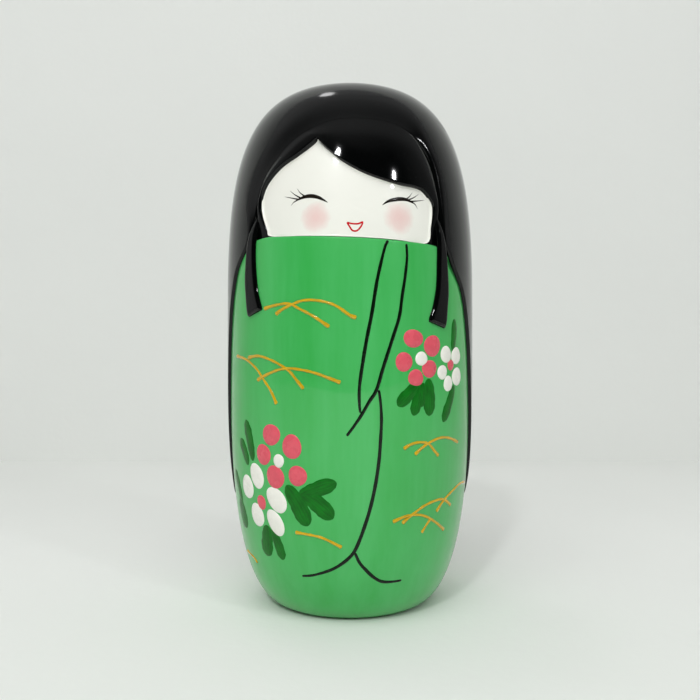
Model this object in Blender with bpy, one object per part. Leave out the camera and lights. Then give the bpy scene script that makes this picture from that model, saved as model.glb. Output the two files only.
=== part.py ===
"""Lacquered kokeshi doll: a turned wooden figure with a carved hood of long black hair.

The doll stands on Z, centred on the Z axis, and faces -Y. Its outside is one turned
shape. Hair, face and kimono lie at different depths under that shape, so a depth is
always measured inwards from it. What is carved from the front is drawn in azimuths,
measured from the middle of the front towards +X, and in rises above the collar.
"""
from math import hypot, pi, radians, sin

import bmesh
import bpy

# The turned outside shape
HEIGHT = 0.150  # floor to crown
RADIUS = 0.0362  # at the widest height
FOOT_RADIUS = 0.0201
HEAD_HEIGHT = 0.0473  # collar to crown
SHOULDER_DROP = 0.0217  # collar down to the widest height
DOME_POWER = 3.2  # how square the dome is
HIP_POWER = 3.35  # how long the sides stay straight above the foot
FOOT_POWER = 2.1  # how full the curve into the foot is

# Depths under the outside shape
KIMONO_DEPTH = 0.0008
HOOD_DEPTH = 0.0028  # the inner side of the hood, the face and the fringe
FACE_DEPTH = 0.0015
FRINGE_DEPTH = 0.0003
LOCK_THICKNESS = 0.0010  # of the locks that lie on the kimono
HEM_HEIGHT = 0.030  # floor to the lower edge of the long hair
GAP = 0.0003  # between pieces that touch

# Neck dowel, relief bore and base
DOWEL_RADIUS = 0.0065
DOWEL_LENGTH = 0.032
BORE_ROOF = 0.014  # wood between the relief bore and the dowel
FOOT_RING = 0.0038  # wood left around the felt
FELT_LAND = 0.0022  # felt glued to the body around the plug
PLUG_SEAT = 0.0028  # step that the plug rests on, around the relief bore
PLUG_THICKNESS = 0.006
FELT_THICKNESS = 0.0016
FELT_PROUD = 0.0004  # how far the felt stands below the wooden foot
EDGE = 0.0006  # bevel of turned edges

# Carved outlines: azimuth in degrees and rise from the collar, in hundredths of the head
# above it and of the long hair below it
OPENING = [
    (-90, -97.5), (-87, -89), (-84, -79), (-81, -69), (-78.5, -57), (-76, -44.5),
    (-73.2, -33.5), (-69.7, -24), (-65.6, -16), (-61.5, -9.8), (-56.8, -5.6), (-52, -1.8),
    (-49.2, 4.5), (-47.6, 13), (-46.3, 24), (-44, 34), (-38.5, 44.5), (-29.5, 56),
    (-18.5, 63.8), (-8, 67.4), (2, 68.3), (12, 68), (23, 66.3), (30, 62.8), (36, 57),
    (40.5, 48), (42.6, 39), (43.5, 28), (44, 17.5), (44.8, 5), (46.3, -2), (48.5, -5),
    (51.7, -9.2), (55.7, -13), (59.2, -16.7), (62.3, -21), (65.5, -27.5), (68.3, -35),
    (71, -44), (73.7, -56), (76.7, -68), (80, -79), (84.5, -89), (90, -97.5),
]
FACE = [
    (35, -2.8), (37.5, 6.3), (39.6, 16), (38.5, 22.6), (32.8, 28.8), (21.3, 30.4),
    (8.2, 34.5), (-2.3, 41), (-10.3, 49), (-15.5, 55.4), (-24, 47), (-33, 40.2),
    (-40.5, 31.7), (-43, 23.7), (-42.4, 16.3), (-38.1, 4.4), (-36, -2.8),
]
FRINGE = [
    (52, 31.7), (52, 53), (30, 73), (0, 76), (-22.5, 71), (-14.5, 53), (-8, 40),
    (10, 25.4), (36, 25.4),
]
LOCK_LEFT = [
    (-24.5, 71), (-45, 63.4), (-56, 31.7), (-56, 8.5), (-53, -1.4), (-53.6, -12.4),
    (-52.6, -22), (-50.4, -28), (-41.6, -25.6), (-44, -18.6), (-45.4, -8.3),
    (-45.6, 1.1), (-35, 1.1), (-36, 17), (-33, 31.7), (-16.5, 53),
]
LOCK_RIGHT = [
    (36, 23.3), (34, 12.7), (34, 1.1), (41.2, 1.1), (40.6, -11), (38.6, -22),
    (36.4, -29.7), (46, -32), (47.8, -22), (48.6, -12.4), (49, -1.1), (56, 8.5),
    (52, 29.6),
]
LAYER_TOP = 77  # rises that the carved layers are turned between
FRINGE_FOOT = 20
LOCK_TIP = -36

COLLAR = HEIGHT - HEAD_HEIGHT
WIDEST = COLLAR - SHOULDER_DROP
FELT_RADIUS = FOOT_RADIUS - FOOT_RING
PLUG_RADIUS = FELT_RADIUS - FELT_LAND
BORE_RADIUS = PLUG_RADIUS - PLUG_SEAT
TURN_STEPS = 48
DOME_STEPS = 9
SIDE_STEPS = 9
CARVE_FRONT = -1.4 * RADIUS
CARVE_BACK = 0.0011  # carved cuts end just behind the axis
LOOKS = {
    "green_lacquer": ((0.050, 0.400, 0.080), 0.15),
    "black_lacquer": ((0.004, 0.005, 0.005), 0.12),
    "white_lacquer": ((0.800, 0.790, 0.730), 0.20),
    "bare_wood": ((0.560, 0.380, 0.210), 0.60),
    "black_felt": ((0.020, 0.020, 0.022), 0.95),
}


def outside_radius(height, depth=0.0):
    """Radius of the outside shape at a height, moved inwards by a depth."""
    if height >= WIDEST:
        share = min(1.0, (height - WIDEST) / (HEIGHT - depth - WIDEST))
        return (RADIUS - depth) * (1 - share**DOME_POWER) ** (1 / DOME_POWER)
    swell = (1 - (1 - height / WIDEST) ** HIP_POWER) ** (1 / FOOT_POWER)
    return FOOT_RADIUS - depth + (RADIUS - FOOT_RADIUS) * swell


def skin(depth, low, high=None):
    """Points (radius, height) down the outside shape, from the crown if high is None."""
    heights = []
    for step in range(DOME_STEPS):
        turn = pi / 2 * (1 - step / DOME_STEPS)
        rise = (HEIGHT - depth - WIDEST) * sin(turn) ** (2 / DOME_POWER)
        heights.append(WIDEST + rise)
    heights += [WIDEST * (1 - step / SIDE_STEPS) ** 1.6 for step in range(SIDE_STEPS)]
    top = heights[0] if high is None else high
    inner = [height for height in heights if low + 0.001 < height < top - 0.0003]
    points = [(outside_radius(height, depth), height) for height in [top, *inner, low]]
    if high is None:
        points[0] = (0.0, top)
    return points


def shell(depth, inner_depth, low, high):
    """The closed outline of a layer between two depths."""
    return skin(depth, low, high) + skin(inner_depth, low, high)[::-1]


def curve(points, spans):
    """A Catmull-Rom curve through open points, with a number of spans between each two."""
    ends = [points[0], *points, points[-1]]
    run = []
    for a, b, c, d in zip(ends, ends[1:], ends[2:], ends[3:]):
        for step in range(spans):
            t = step / spans
            run.append(
                tuple(
                    b[k] + 0.5 * t * (
                        c[k] - a[k]
                        + t * (2 * a[k] - 5 * b[k] + 4 * c[k] - d[k])
                        + t * t * (3 * b[k] - a[k] - 3 * c[k] + d[k])
                    )
                    for k in (0, 1)
                )
            )
    return run + [points[-1]]


def at_rise(rise):
    """The height of a rise from the collar, up the head or down the long hair."""
    span = HEAD_HEIGHT if rise > 0 else COLLAR - HEM_HEIGHT
    return COLLAR + rise / 100 * span


def on_front(outline):
    """Azimuths and rises as front view points (x, z) on the outside shape."""
    placed = []
    for azimuth, rise in outline:
        height = at_rise(rise)
        placed.append((outside_radius(height) * sin(radians(azimuth)), height))
    return placed


def grow(points, distance):
    """An anticlockwise outline moved outwards by a distance, with its corners kept."""
    grown = []
    for index, (x, z) in enumerate(points):
        normals = []
        for start, end in ((index - 1, index), (index, (index + 1) % len(points))):
            run_x = points[end][0] - points[start][0]
            run_z = points[end][1] - points[start][1]
            length = hypot(run_x, run_z)
            normals.append((run_z / length, -run_x / length))
        mid_x = normals[0][0] + normals[1][0]
        mid_z = normals[0][1] + normals[1][1]
        reach = distance / max(0.5, (mid_x * mid_x + mid_z * mid_z) / 2)
        grown.append((x + reach * mid_x, z + reach * mid_z))
    return grown


def opening(distance=0.0):
    """The hood's front opening: an arch whose legs run down and back to the sides."""
    arch = on_front(curve(OPENING[::-1], 1))
    below = HEM_HEIGHT - 0.008
    wide = 1.1 * RADIUS
    legs = arch[0][1]
    box = [(-wide, legs), (-wide, below), (wide, below), (wide, legs)]
    return grow(arch + box, distance)


def face_outline(distance=0.0):
    """The face: bounded by the swept fringe above and by the collar below."""
    return grow(on_front(curve(FACE, 2)), distance)


def material(name):
    """A plain Principled BSDF material."""
    colour, roughness = LOOKS[name]
    made = bpy.data.materials.new(name)
    made.use_nodes = True
    shader = made.node_tree.nodes["Principled BSDF"]
    shader.inputs["Base Color"].default_value = (*colour, 1.0)
    shader.inputs["Roughness"].default_value = roughness
    shader.inputs["Metallic"].default_value = 0.0
    return made


def add_object(name, bm, look):
    """Links a mesh as a piece of the doll, or as a cutter when it has no look."""
    mesh = bpy.data.meshes.new(name)
    bm.to_mesh(mesh)
    bm.free()
    piece = bpy.data.objects.new(name, mesh)
    bpy.context.scene.collection.objects.link(piece)
    piece.parent = bpy.data.objects["doll"]
    if look:
        mesh.materials.append(bpy.data.materials[look])
    else:
        piece.hide_render = True
        piece.display_type = "WIRE"
    return piece


def turned(name, outline, look=None, ring=False):
    """A piece turned about Z from an outline that runs down its outer side."""
    bm = bmesh.new()
    points = [bm.verts.new((radius, 0.0, height)) for radius, height in outline]
    for start, end in zip(points, points[1:] + points[:1] * ring):
        bm.edges.new((start, end))
    piece = add_object(name, bm, look)
    screw = piece.modifiers.new("Turn", "SCREW")
    screw.axis = "Z"
    screw.steps = screw.render_steps = TURN_STEPS
    screw.use_merge_vertices = True
    screw.merge_threshold = 0.00001
    return piece


def cutter(name, outline, back=CARVE_BACK):
    """A solid with a front view outline, from before the doll to just behind its axis."""
    bm = bmesh.new()
    front = bm.faces.new([bm.verts.new((x, CARVE_FRONT, z)) for x, z in outline])
    swept = bmesh.ops.extrude_face_region(bm, geom=[front])["geom"]
    moved = [item for item in swept if isinstance(item, bmesh.types.BMVert)]
    bmesh.ops.translate(bm, verts=moved, vec=(0.0, back - CARVE_FRONT, 0.0))
    bmesh.ops.recalc_face_normals(bm, faces=bm.faces)
    return add_object(name, bm, None)


def carve(piece, tool, operation="DIFFERENCE"):
    """Cuts a tool's shape out of a piece, or keeps only what lies in it."""
    boolean = piece.modifiers.new(tool.name, "BOOLEAN")
    boolean.object = tool
    boolean.operation = operation


def make_cutters():
    """The carved outlines, each with the gap that its neighbours keep."""
    cutter("opening_cut", opening())
    cutter("opening_fit", opening(-GAP), CARVE_BACK - GAP)
    cutter("face_cut", face_outline())
    cutter("face_fit", face_outline(GAP))
    cutter("fringe_cut", on_front(FRINGE))
    cutter("lock_left_cut", on_front(LOCK_LEFT))
    cutter("lock_right_cut", on_front(LOCK_RIGHT))


def make_body():
    """The kimono: turned, bored from below, with a rebate for the hair at its back."""
    socket = DOWEL_RADIUS + GAP
    socket_floor = COLLAR - DOWEL_LENGTH / 2 - GAP
    recess_roof = FELT_THICKNESS + GAP
    plug_roof = recess_roof + PLUG_THICKNESS + GAP
    collar_radius = outside_radius(COLLAR, KIMONO_DEPTH)
    outline = [(0.0, socket_floor), (socket, socket_floor), (socket, COLLAR)]
    outline += [(collar_radius - EDGE, COLLAR)]
    outline += skin(KIMONO_DEPTH, FELT_PROUD + EDGE, COLLAR - EDGE)
    outline += [
        (FOOT_RADIUS - KIMONO_DEPTH - EDGE, FELT_PROUD),
        (FELT_RADIUS + GAP, FELT_PROUD),
        (FELT_RADIUS + GAP, recess_roof),
        (PLUG_RADIUS + GAP, recess_roof),
        (PLUG_RADIUS + GAP, plug_roof),
        (BORE_RADIUS, plug_roof),
        (BORE_RADIUS, socket_floor - BORE_ROOF),
        (0.0, socket_floor - BORE_ROOF),
    ]
    body = turned("kimono_body", outline, "green_lacquer")
    outside = 1.2 * RADIUS
    above = COLLAR + 0.005  # past the body's top
    rebate_skin = skin(HOOD_DEPTH + GAP, HEM_HEIGHT - GAP, above)
    ring = [(outside, above), (outside, HEM_HEIGHT - GAP)] + rebate_skin[::-1]
    rebate = turned("hair_rebate_cut", ring, ring=True)
    carve(rebate, bpy.data.objects["opening_fit"])
    carve(body, rebate)


def make_base():
    """The plug that closes the relief bore, and the felt that the doll stands on."""
    low = FELT_THICKNESS + GAP
    high = low + PLUG_THICKNESS
    plug = [(0.0, high), (PLUG_RADIUS - EDGE, high), (PLUG_RADIUS, high - EDGE)]
    plug += [(PLUG_RADIUS, low), (0.0, low)]
    turned("base_plug", plug, "bare_wood")
    felt = [(0.0, FELT_THICKNESS), (FELT_RADIUS, FELT_THICKNESS), (FELT_RADIUS, 0.0)]
    turned("base_felt", felt + [(0.0, 0.0)], "black_felt")


def make_head():
    """The turned head block and the dowel that joins it to the body."""
    socket = DOWEL_RADIUS + GAP
    roof = COLLAR + DOWEL_LENGTH / 2 + GAP
    outline = skin(HOOD_DEPTH + GAP, COLLAR + GAP)
    outline += [(socket, COLLAR + GAP), (socket, roof), (0.0, roof)]
    turned("head_block", outline, "bare_wood")
    high = COLLAR + DOWEL_LENGTH / 2
    low = COLLAR - DOWEL_LENGTH / 2
    rod = [(0.0, high), (DOWEL_RADIUS - EDGE, high), (DOWEL_RADIUS, high - EDGE)]
    rod += [(DOWEL_RADIUS, low + EDGE), (DOWEL_RADIUS - EDGE, low), (0.0, low)]
    turned("neck_dowel", rod, "bare_wood")


def make_face():
    """The white face, let into the front of the head below the fringe."""
    layer = shell(FACE_DEPTH, HOOD_DEPTH, COLLAR + GAP, at_rise(LAYER_TOP))
    face = turned("face_plate", layer, "white_lacquer", ring=True)
    carve(face, bpy.data.objects["face_cut"], "INTERSECT")


def make_hood():
    """The hair that covers the crown and the sides and falls down the back."""
    layer = skin(0.0, HEM_HEIGHT) + skin(HOOD_DEPTH, HEM_HEIGHT)[::-1]
    hood = turned("hair_hood", layer, "black_lacquer")
    carve(hood, bpy.data.objects["opening_cut"])


def make_fringe():
    """The swept fringe between the hood and the face."""
    low, high = at_rise(FRINGE_FOOT), at_rise(LAYER_TOP)
    layer = shell(FRINGE_DEPTH, HOOD_DEPTH, low, high)
    fringe = turned("hair_fringe", layer, "black_lacquer", ring=True)
    carve(fringe, bpy.data.objects["fringe_cut"], "INTERSECT")
    carve(fringe, bpy.data.objects["opening_fit"], "INTERSECT")
    carve(fringe, bpy.data.objects["face_fit"])


def make_lock(side):
    """A strand from the temple down over the collar, ending raised on the kimono."""
    on_kimono = KIMONO_DEPTH - GAP
    top, tip = at_rise(LAYER_TOP), at_rise(LOCK_TIP)
    layer = skin(FRINGE_DEPTH, COLLAR + 0.004, top)
    layer += skin(on_kimono - LOCK_THICKNESS, tip, COLLAR + 0.0015)
    layer += skin(on_kimono, tip, COLLAR + GAP)[::-1]
    layer += skin(HOOD_DEPTH, COLLAR + GAP, top)[::-1]
    lock = turned(f"side_lock_{side}", layer, "black_lacquer", ring=True)
    carve(lock, bpy.data.objects[f"lock_{side}_cut"], "INTERSECT")
    carve(lock, bpy.data.objects["opening_fit"], "INTERSECT")
    carve(lock, bpy.data.objects["face_fit"])


def clear():
    """Starts from an empty scene."""
    for item in list(bpy.data.objects):
        bpy.data.objects.remove(item, do_unlink=True)


def main():
    clear()
    doll = bpy.data.objects.new("doll", None)
    bpy.context.scene.collection.objects.link(doll)
    for name in LOOKS:
        material(name)
    make_cutters()
    make_body()
    make_base()
    make_head()
    make_face()
    make_hood()
    make_fringe()
    make_lock("left")
    make_lock("right")


if __name__ == "__main__":
    main()
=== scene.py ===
"""The looks of a lacquered kokeshi doll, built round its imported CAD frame.

The doll stands on Z, centred on the Z axis, and faces -Y. Places on it are given by an
azimuth in degrees, from the middle of the front towards +X, and a height. Hair, face and
kimono lie at different depths under one turned outside shape, and a depth is measured
inwards along that shape's normal. Routes and outlines give heights in millimetres for a
doll of 150 mm.
"""

from bisect import bisect_right
from math import atan2, cos, degrees, hypot, pi, radians, sin, sqrt

import bmesh
import bpy
from bpy.props import FloatProperty, FloatVectorProperty, PointerProperty
from bpy.types import Operator, Panel, PropertyGroup
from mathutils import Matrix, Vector


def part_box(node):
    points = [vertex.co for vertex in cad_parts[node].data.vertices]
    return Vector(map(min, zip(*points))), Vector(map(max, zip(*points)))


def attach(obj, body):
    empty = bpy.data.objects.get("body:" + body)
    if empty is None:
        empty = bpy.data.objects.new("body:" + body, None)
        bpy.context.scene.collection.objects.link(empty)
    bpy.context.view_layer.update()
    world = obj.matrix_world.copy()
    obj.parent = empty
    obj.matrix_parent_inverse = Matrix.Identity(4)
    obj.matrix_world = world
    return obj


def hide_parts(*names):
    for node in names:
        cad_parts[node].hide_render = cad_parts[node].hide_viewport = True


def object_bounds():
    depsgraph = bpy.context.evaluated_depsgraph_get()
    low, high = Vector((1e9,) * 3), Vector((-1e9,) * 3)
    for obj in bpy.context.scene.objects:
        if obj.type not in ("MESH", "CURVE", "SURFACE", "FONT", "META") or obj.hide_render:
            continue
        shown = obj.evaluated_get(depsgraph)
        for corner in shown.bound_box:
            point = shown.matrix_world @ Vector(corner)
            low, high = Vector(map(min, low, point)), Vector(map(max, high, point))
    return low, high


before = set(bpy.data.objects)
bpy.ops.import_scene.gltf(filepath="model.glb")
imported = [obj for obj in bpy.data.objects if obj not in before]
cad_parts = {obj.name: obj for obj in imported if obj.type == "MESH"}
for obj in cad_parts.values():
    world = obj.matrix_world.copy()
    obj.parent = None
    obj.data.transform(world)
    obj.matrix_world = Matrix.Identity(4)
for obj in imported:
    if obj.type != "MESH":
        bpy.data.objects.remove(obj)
CAD_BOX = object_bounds()

bl_info = {
    "name": "Kokeshi Doll",
    "version": (1, 0, 0),
    "blender": (4, 5, 0),
    "location": "View3D > Sidebar > Kokeshi",
    "description": "Builds the lacquered surfaces of a kokeshi doll round its CAD frame",
    "category": "Object",
}

BODY = "root"
HEIGHT = CAD_BOX[1].z
MM = HEIGHT / 150  # a millimetre on the doll of 150 mm
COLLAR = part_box("kimono_body")[1].z
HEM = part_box("hair_hood")[0].z
GAP = 0.0003  # between pieces that slide into each other
WELD = 0.000002  # corners nearer than this are joined
SPANS = 6  # steps between two points of a route
SINK = 0.00012  # how deep a brush stroke's rim lies in the lacquer
TUCK = 0.00035  # how far the inner hair runs on under the hood
UNDER = 0.00006  # how much deeper it lies there
BROW_REACH, BROW_DROP = 0.0060, 0.0005  # the hood's soft slope over the forehead
TEMPLE_REACH = 0.0022  # the hood's rounding beside the face
LEDGE_REACH, LEDGE_DROP = 0.0006, 0.00095  # the hood's rounding over the kimono
CREASE_REACH = 0.0045  # the inner hair's rounding beside the hood
RIM_REACH, RIM_DROP = 0.0006, 0.0013  # the inner hair's rounding at the face
BELLY_REACH, BELLY = 0.0062, 0.00012  # the fringe's fullness, and how far from its rim it lies
SUNK = 0.0003  # how far below the crease the inner hair ends at the collar
THIN = 0.0003  # the least thickness of the inner hair
RIPPLE = 0.00001  # how high a height of 1 stands in the lacquer

# Outlines and routes: (azimuth in degrees, height in millimetres)
OPENING = [
    (-93, 30), (-90, 32), (-87, 38), (-84, 45.3), (-81, 52.5), (-78.5, 61.3),
    (-76, 70.3), (-73.2, 78.3), (-69.7, 85.3), (-65.6, 91.1), (-61.5, 95.6), (-56.8, 98.6),
    (-52, 101.4), (-49.2, 104.8), (-47.6, 108.9), (-46.3, 114.1), (-44, 118.8),
    (-38.5, 123.7), (-29.5, 129.2), (-18.5, 132.9), (-8, 134.6), (2, 135), (12, 134.9),
    (23, 134.1), (30, 132.4), (36, 129.7), (40.5, 125.4), (42.6, 121.1), (43.5, 115.9),
    (44, 111), (44.8, 105.1), (46.3, 101.2), (48.5, 99.1), (51.7, 96), (55.7, 93.2),
    (59.2, 90.6), (62.3, 87.4), (65.5, 82.7), (68.3, 77.3), (71, 70.7), (73.7, 62),
    (76.7, 53.3), (80, 45.3), (84.5, 38), (90, 32), (93, 30),
]
OPENING_TOP = 21  # the point above where the hood's two sides meet
FACE = [
    (35.5, 101.9), (38.2, 106.5), (39.6, 111), (38.5, 113.4), (32.8, 116.3), (21.3, 117.1),
    (8.2, 119.2), (-2.3, 122.4), (-10.3, 126.2), (-15.6, 129.2), (-24.2, 125.3), (-33.5, 122.3),
    (-41.2, 118.1), (-43.8, 114), (-43, 110.3), (-39.5, 105.9), (-36.9, 103.8),
    (-20, 103.3), (0, 102.8), (20, 102.3),
]
FACE_CENTRE = (-2, 112)
FACE_TIP, FACE_CORNER = 9, 16  # the points above at the parting and at the left collar corner
PARTING = (-21.8, 132)
FRINGE_LOW = FACE[FACE_TIP::-1]
FRINGE_HIGH = [PARTING, *OPENING[20:31], (46.3, 101.6)]
STRAND_LOW = FACE[FACE_TIP:FACE_CORNER + 1]
STRAND_HIGH = [PARTING, *OPENING[18:12:-1], (-51.6, 102.2)]
# Each lock's edge towards the face and its edge towards the hood
LOCK_LEFT = (
    [(-44.6, 114), (-45.3, 108), (-45.9, 102.5), (-45.9, 99), (-45.3, 94.6),
     (-43.8, 89.1), (-41.6, 85.2), (-41.2, 84.3)],
    [(-46.6, 114), (-49, 108), (-51.7, 102.2), (-52.7, 96.8), (-53.1, 92.2),
     (-52.5, 88.6), (-51.4, 84), (-50.4, 82.5)],
)
LOCK_RIGHT = (
    [(40.3, 114), (40.9, 108), (41.3, 101.4), (40.9, 96.8), (40.3, 90.6), (38.4, 85.5),
     (36.4, 82.4), (36, 81)],
    [(43.4, 114), (44.3, 108), (46.6, 100.5), (47.7, 94), (48, 88.7), (47.3, 84.7),
     (46.6, 81), (45.4, 79.3)],
)

FOLD_LINES = [
    [(16.3, 102), (14.6, 99.7), (11.4, 91.6), (9.2, 83.3), (6.9, 76.2), (5.1, 69.5),
     (3.9, 63.9), (3.9, 59.9), (4.3, 57.4)],
    [(24.7, 101.3), (24.9, 97.6), (23.9, 92.6), (22.5, 87.6), (21.2, 82.3), (18.5, 77.3),
     (16.2, 73.1), (13.8, 68.7), (11.1, 63.3), (8.1, 60.4), (4.8, 56.9), (1.5, 53.9), (-1.4, 51.5)],
    [(12.1, 63.3), (12.9, 59.9), (13.3, 55.3), (12.9, 49.6), (12.4, 45), (11, 38.8),
     (9, 32.9), (6.1, 27), (2.9, 22), (0.3, 19.7), (-3.4, 17.8), (-8, 16.1), (-13.6, 14.8),
     (-19.2, 13.8), (-24.8, 13.3)],
    [(2.3, 20.7), (4.4, 18), (7.3, 16), (11.3, 13.8), (16, 12.2), (21.7, 11.8),
     (27.4, 11.9)],
]
GRASS_BLADES = [
    [(-40.3, 84.6), (-33.6, 85.4), (-26.8, 85.7), (-21.9, 84.3), (-15.2, 82.2), (-8.6, 79.5)],
    [(-33.6, 83), (-29.7, 84.4), (-24.7, 85.6), (-19.2, 86.5), (-12, 86.2), (-5.7, 84.9),
     (-0.1, 82.5), (2.7, 81.9)],
    [(-63, 71.9), (-52.9, 70.9), (-45.3, 68.5), (-40.4, 65.5), (-36.4, 62.8), (-33.2, 59.3)],
    [(-51.5, 71.5), (-44.4, 72), (-37.7, 71.2), (-32, 69.9), (-26.7, 68.1), (-23.2, 65.8),
     (-19.9, 63.5)],
    [(-44.7, 65.5), (-38.5, 67.1), (-32, 68.4), (-26.7, 68.8), (-20.5, 68.4), (-14.5, 67.6),
     (-9, 66.4), (-3.9, 65.2)],
    [(-25.8, 25.5), (-19.3, 25.2), (-12.4, 24.5), (-3.7, 22.1)],
    [(-69.3, 16.1), (-60.4, 15.2), (-57.5, 13.9)],
    [(23.5, 47.8), (27.1, 48.9), (31.7, 49.3), (36.5, 48.7), (39.7, 46.9), (42.8, 45.2)],
    [(29.1, 46.1), (32.9, 47.8), (37.4, 49.1), (43.8, 50), (50.5, 49.6), (58.3, 48.1)],
    [(19.4, 28.6), (24.8, 29.7), (30.1, 30), (36.2, 29.3), (43.3, 27.2), (51.4, 24.2)],
    [(24.1, 28), (28.4, 29.8), (34.8, 31.9), (42, 33), (48.5, 32.9), (55, 30.8)],
    [(43.7, 29.9), (48.4, 32.6), (55.8, 34.7), (64.1, 36), (74, 35.6)],
    [(40.1, 28.2), (37.6, 26.5), (35.4, 24.7)],
]
# Petals: azimuth, height, half width and half length in millimetres, lean to the right
PINK_PETALS = [
    (-36.6, 51.1, 3.1, 2.9, 0), (-25.8, 48.3, 3.0, 3.2, -17), (-41.6, 45.6, 2.7, 2.9, -14),
    (-35, 39.9, 3.0, 3.2, -19), (-23.3, 40.7, 2.7, 2.8, -33), (-44.7, 32.4, 1.8, 2.0, -29),
    (28, 76.6, 3.1, 2.4, 0), (38.2, 74.7, 3.0, 2.9, 0), (23.4, 70.5, 2.6, 2.5, 0),
    (36.5, 68.6, 2.7, 2.3, 0), (29.2, 66.3, 2.5, 2.2, 0), (50.6, 69.5, 1.5, 1.5, 0),
]
WHITE_PETALS = [
    (-32.7, 44.3, 1.8, 1.8, 0), (-46.9, 39.5, 2.8, 3.6, -23), (-55.2, 35.9, 3.0, 3.4, -28),
    (-35, 33.7, 2.9, 4.0, -42), (-48.8, 28.6, 2.8, 3.4, -20), (-36.6, 27.4, 2.5, 4.0, -34),
    (32.1, 71.3, 2.0, 1.9, 20), (47.1, 72.4, 2.4, 2.3, 0), (55.3, 72, 2.7, 2.3, 0),
    (44.5, 67.6, 2.0, 2.0, 18), (56, 66.3, 2.7, 2.5, 15), (48.7, 64.5, 2.1, 2.1, 20),
]
# Leaves: outer end, end at the flower, width in millimetres
LEAVES = [
    ((-54.5, 54.5), (-49.2, 43.4), 4.0), ((-60.4, 49), (-53.3, 42), 3.7),
    ((-71, 39.6), (-63.1, 30.8), 3.6), ((-62.7, 23.4), (-66.5, 31.7), 5.6),
    ((-19.2, 27.5), (-29.1, 38), 5.4), ((-5.7, 39.3), (-22.9, 35.4), 4.5),
    ((-7.4, 29.8), (-22.5, 36.9), 5.2), ((-46, 17.3), (-42.2, 26.3), 5.2),
    ((-34.7, 17.1), (-39.2, 25.5), 3.7), ((53.8, 82.1), (52.3, 73.2), 3.2),
    ((20.4, 59.1), (31.3, 65.2), 4.0), ((28, 56.4), (31.8, 65), 3.7), ((31.3, 58.5), (32.9, 65), 3.6),
    ((36.5, 56.1), (35.8, 66), 4.5), ((45.2, 54.2), (53.6, 63.9), 3.7),
]
EYELIDS = [
    [(-25.3, 112.6), (-22.6, 113.4), (-18.3, 113.9), (-13.8, 113.3), (-9.7, 111.9)],
    [(14.2, 111.3), (17.4, 112.5), (22, 113.2), (26.3, 113.2), (30.6, 112.2)],
]
LASHES = [
    [(-23.7, 113.2), (-27.2, 113.7), (-31.1, 114.3)], [(-22.5, 113.5), (-25.5, 114.5), (-28.4, 115.8)],
    [(-20.2, 113.8), (-22.7, 114.8), (-24.7, 116.2)], [(-24.2, 113), (-26.1, 112.4), (-27.3, 111.6)],
    [(25.5, 113.2), (27.7, 114.1), (29.4, 115.3)], [(27.1, 113.2), (30.1, 114), (33, 115.1)],
    [(28.5, 112.9), (32.2, 113.2), (36.3, 113.7)], [(29.2, 112.7), (30.8, 112), (31.8, 110.9)],
]
MOUTH = [
    (-1.3, 106.6), (0.5, 106.3), (2.4, 106.2), (3.9, 106.3), (5.5, 106.7), (4.6, 105.4),
    (2.9, 104.4), (1, 104.5), (-0.3, 105.6), (-1.3, 106.6),
]
CHEEKS = [((-15.2, 108.1), 4.3), ((22.2, 108.2), 4.6)]  # place and reach in millimetres


def paint(red, green, blue):
    """A linear colour from sRGB steps of 0 to 255."""
    steps = (red / 255, green / 255, blue / 255)
    return tuple(s / 12.92 if s < 0.04045 else ((s + 0.055) / 1.055) ** 2.4 for s in steps)


def length(name, description, default):
    """A size in metres."""
    return FloatProperty(
        name=name, description=description, default=default, unit="LENGTH", precision=5
    )


def colour(name, description, default):
    """A linear colour."""
    return FloatVectorProperty(
        name=name, description=description, default=default, subtype="COLOR", min=0.0, max=1.0
    )


class KokeshiShape(PropertyGroup):
    """Sizes of the turned and carved shapes."""

    radius: length("Radius", "Outside radius at the widest height", CAD_BOX[1].x)
    foot_radius: length("Foot radius", "Outside radius at the floor", 0.0201)
    shoulder_drop: length("Shoulder drop", "Collar down to the widest height", 0.0217)
    dome_power: FloatProperty(name="Dome", description="How square the dome is", default=3.2)
    hip_power: FloatProperty(name="Hip", description="How long the sides stay straight", default=3.35)
    foot_power: FloatProperty(name="Foot", description="How full the foot's curve is", default=2.1)
    kimono_depth: length("Kimono depth", "Depth of the kimono under the outside", 0.0008)
    hood_depth: length("Hood depth", "Depth of the hood's inner side", 0.0028)
    face_depth: length("Face depth", "Depth of the face under the outside", 0.0015)
    crease_depth: length("Crease depth", "Depth of the crease around the fringe", 0.0013)
    fringe_swell: length("Fringe swell", "Depth of the fringe where it swells most", 0.0002)
    lock_lift: length("Lock lift", "How far the locks stand out from the kimono", 0.0010)
    edge: length("Turned edge", "Radius of turned edges", 0.0006)


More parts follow.
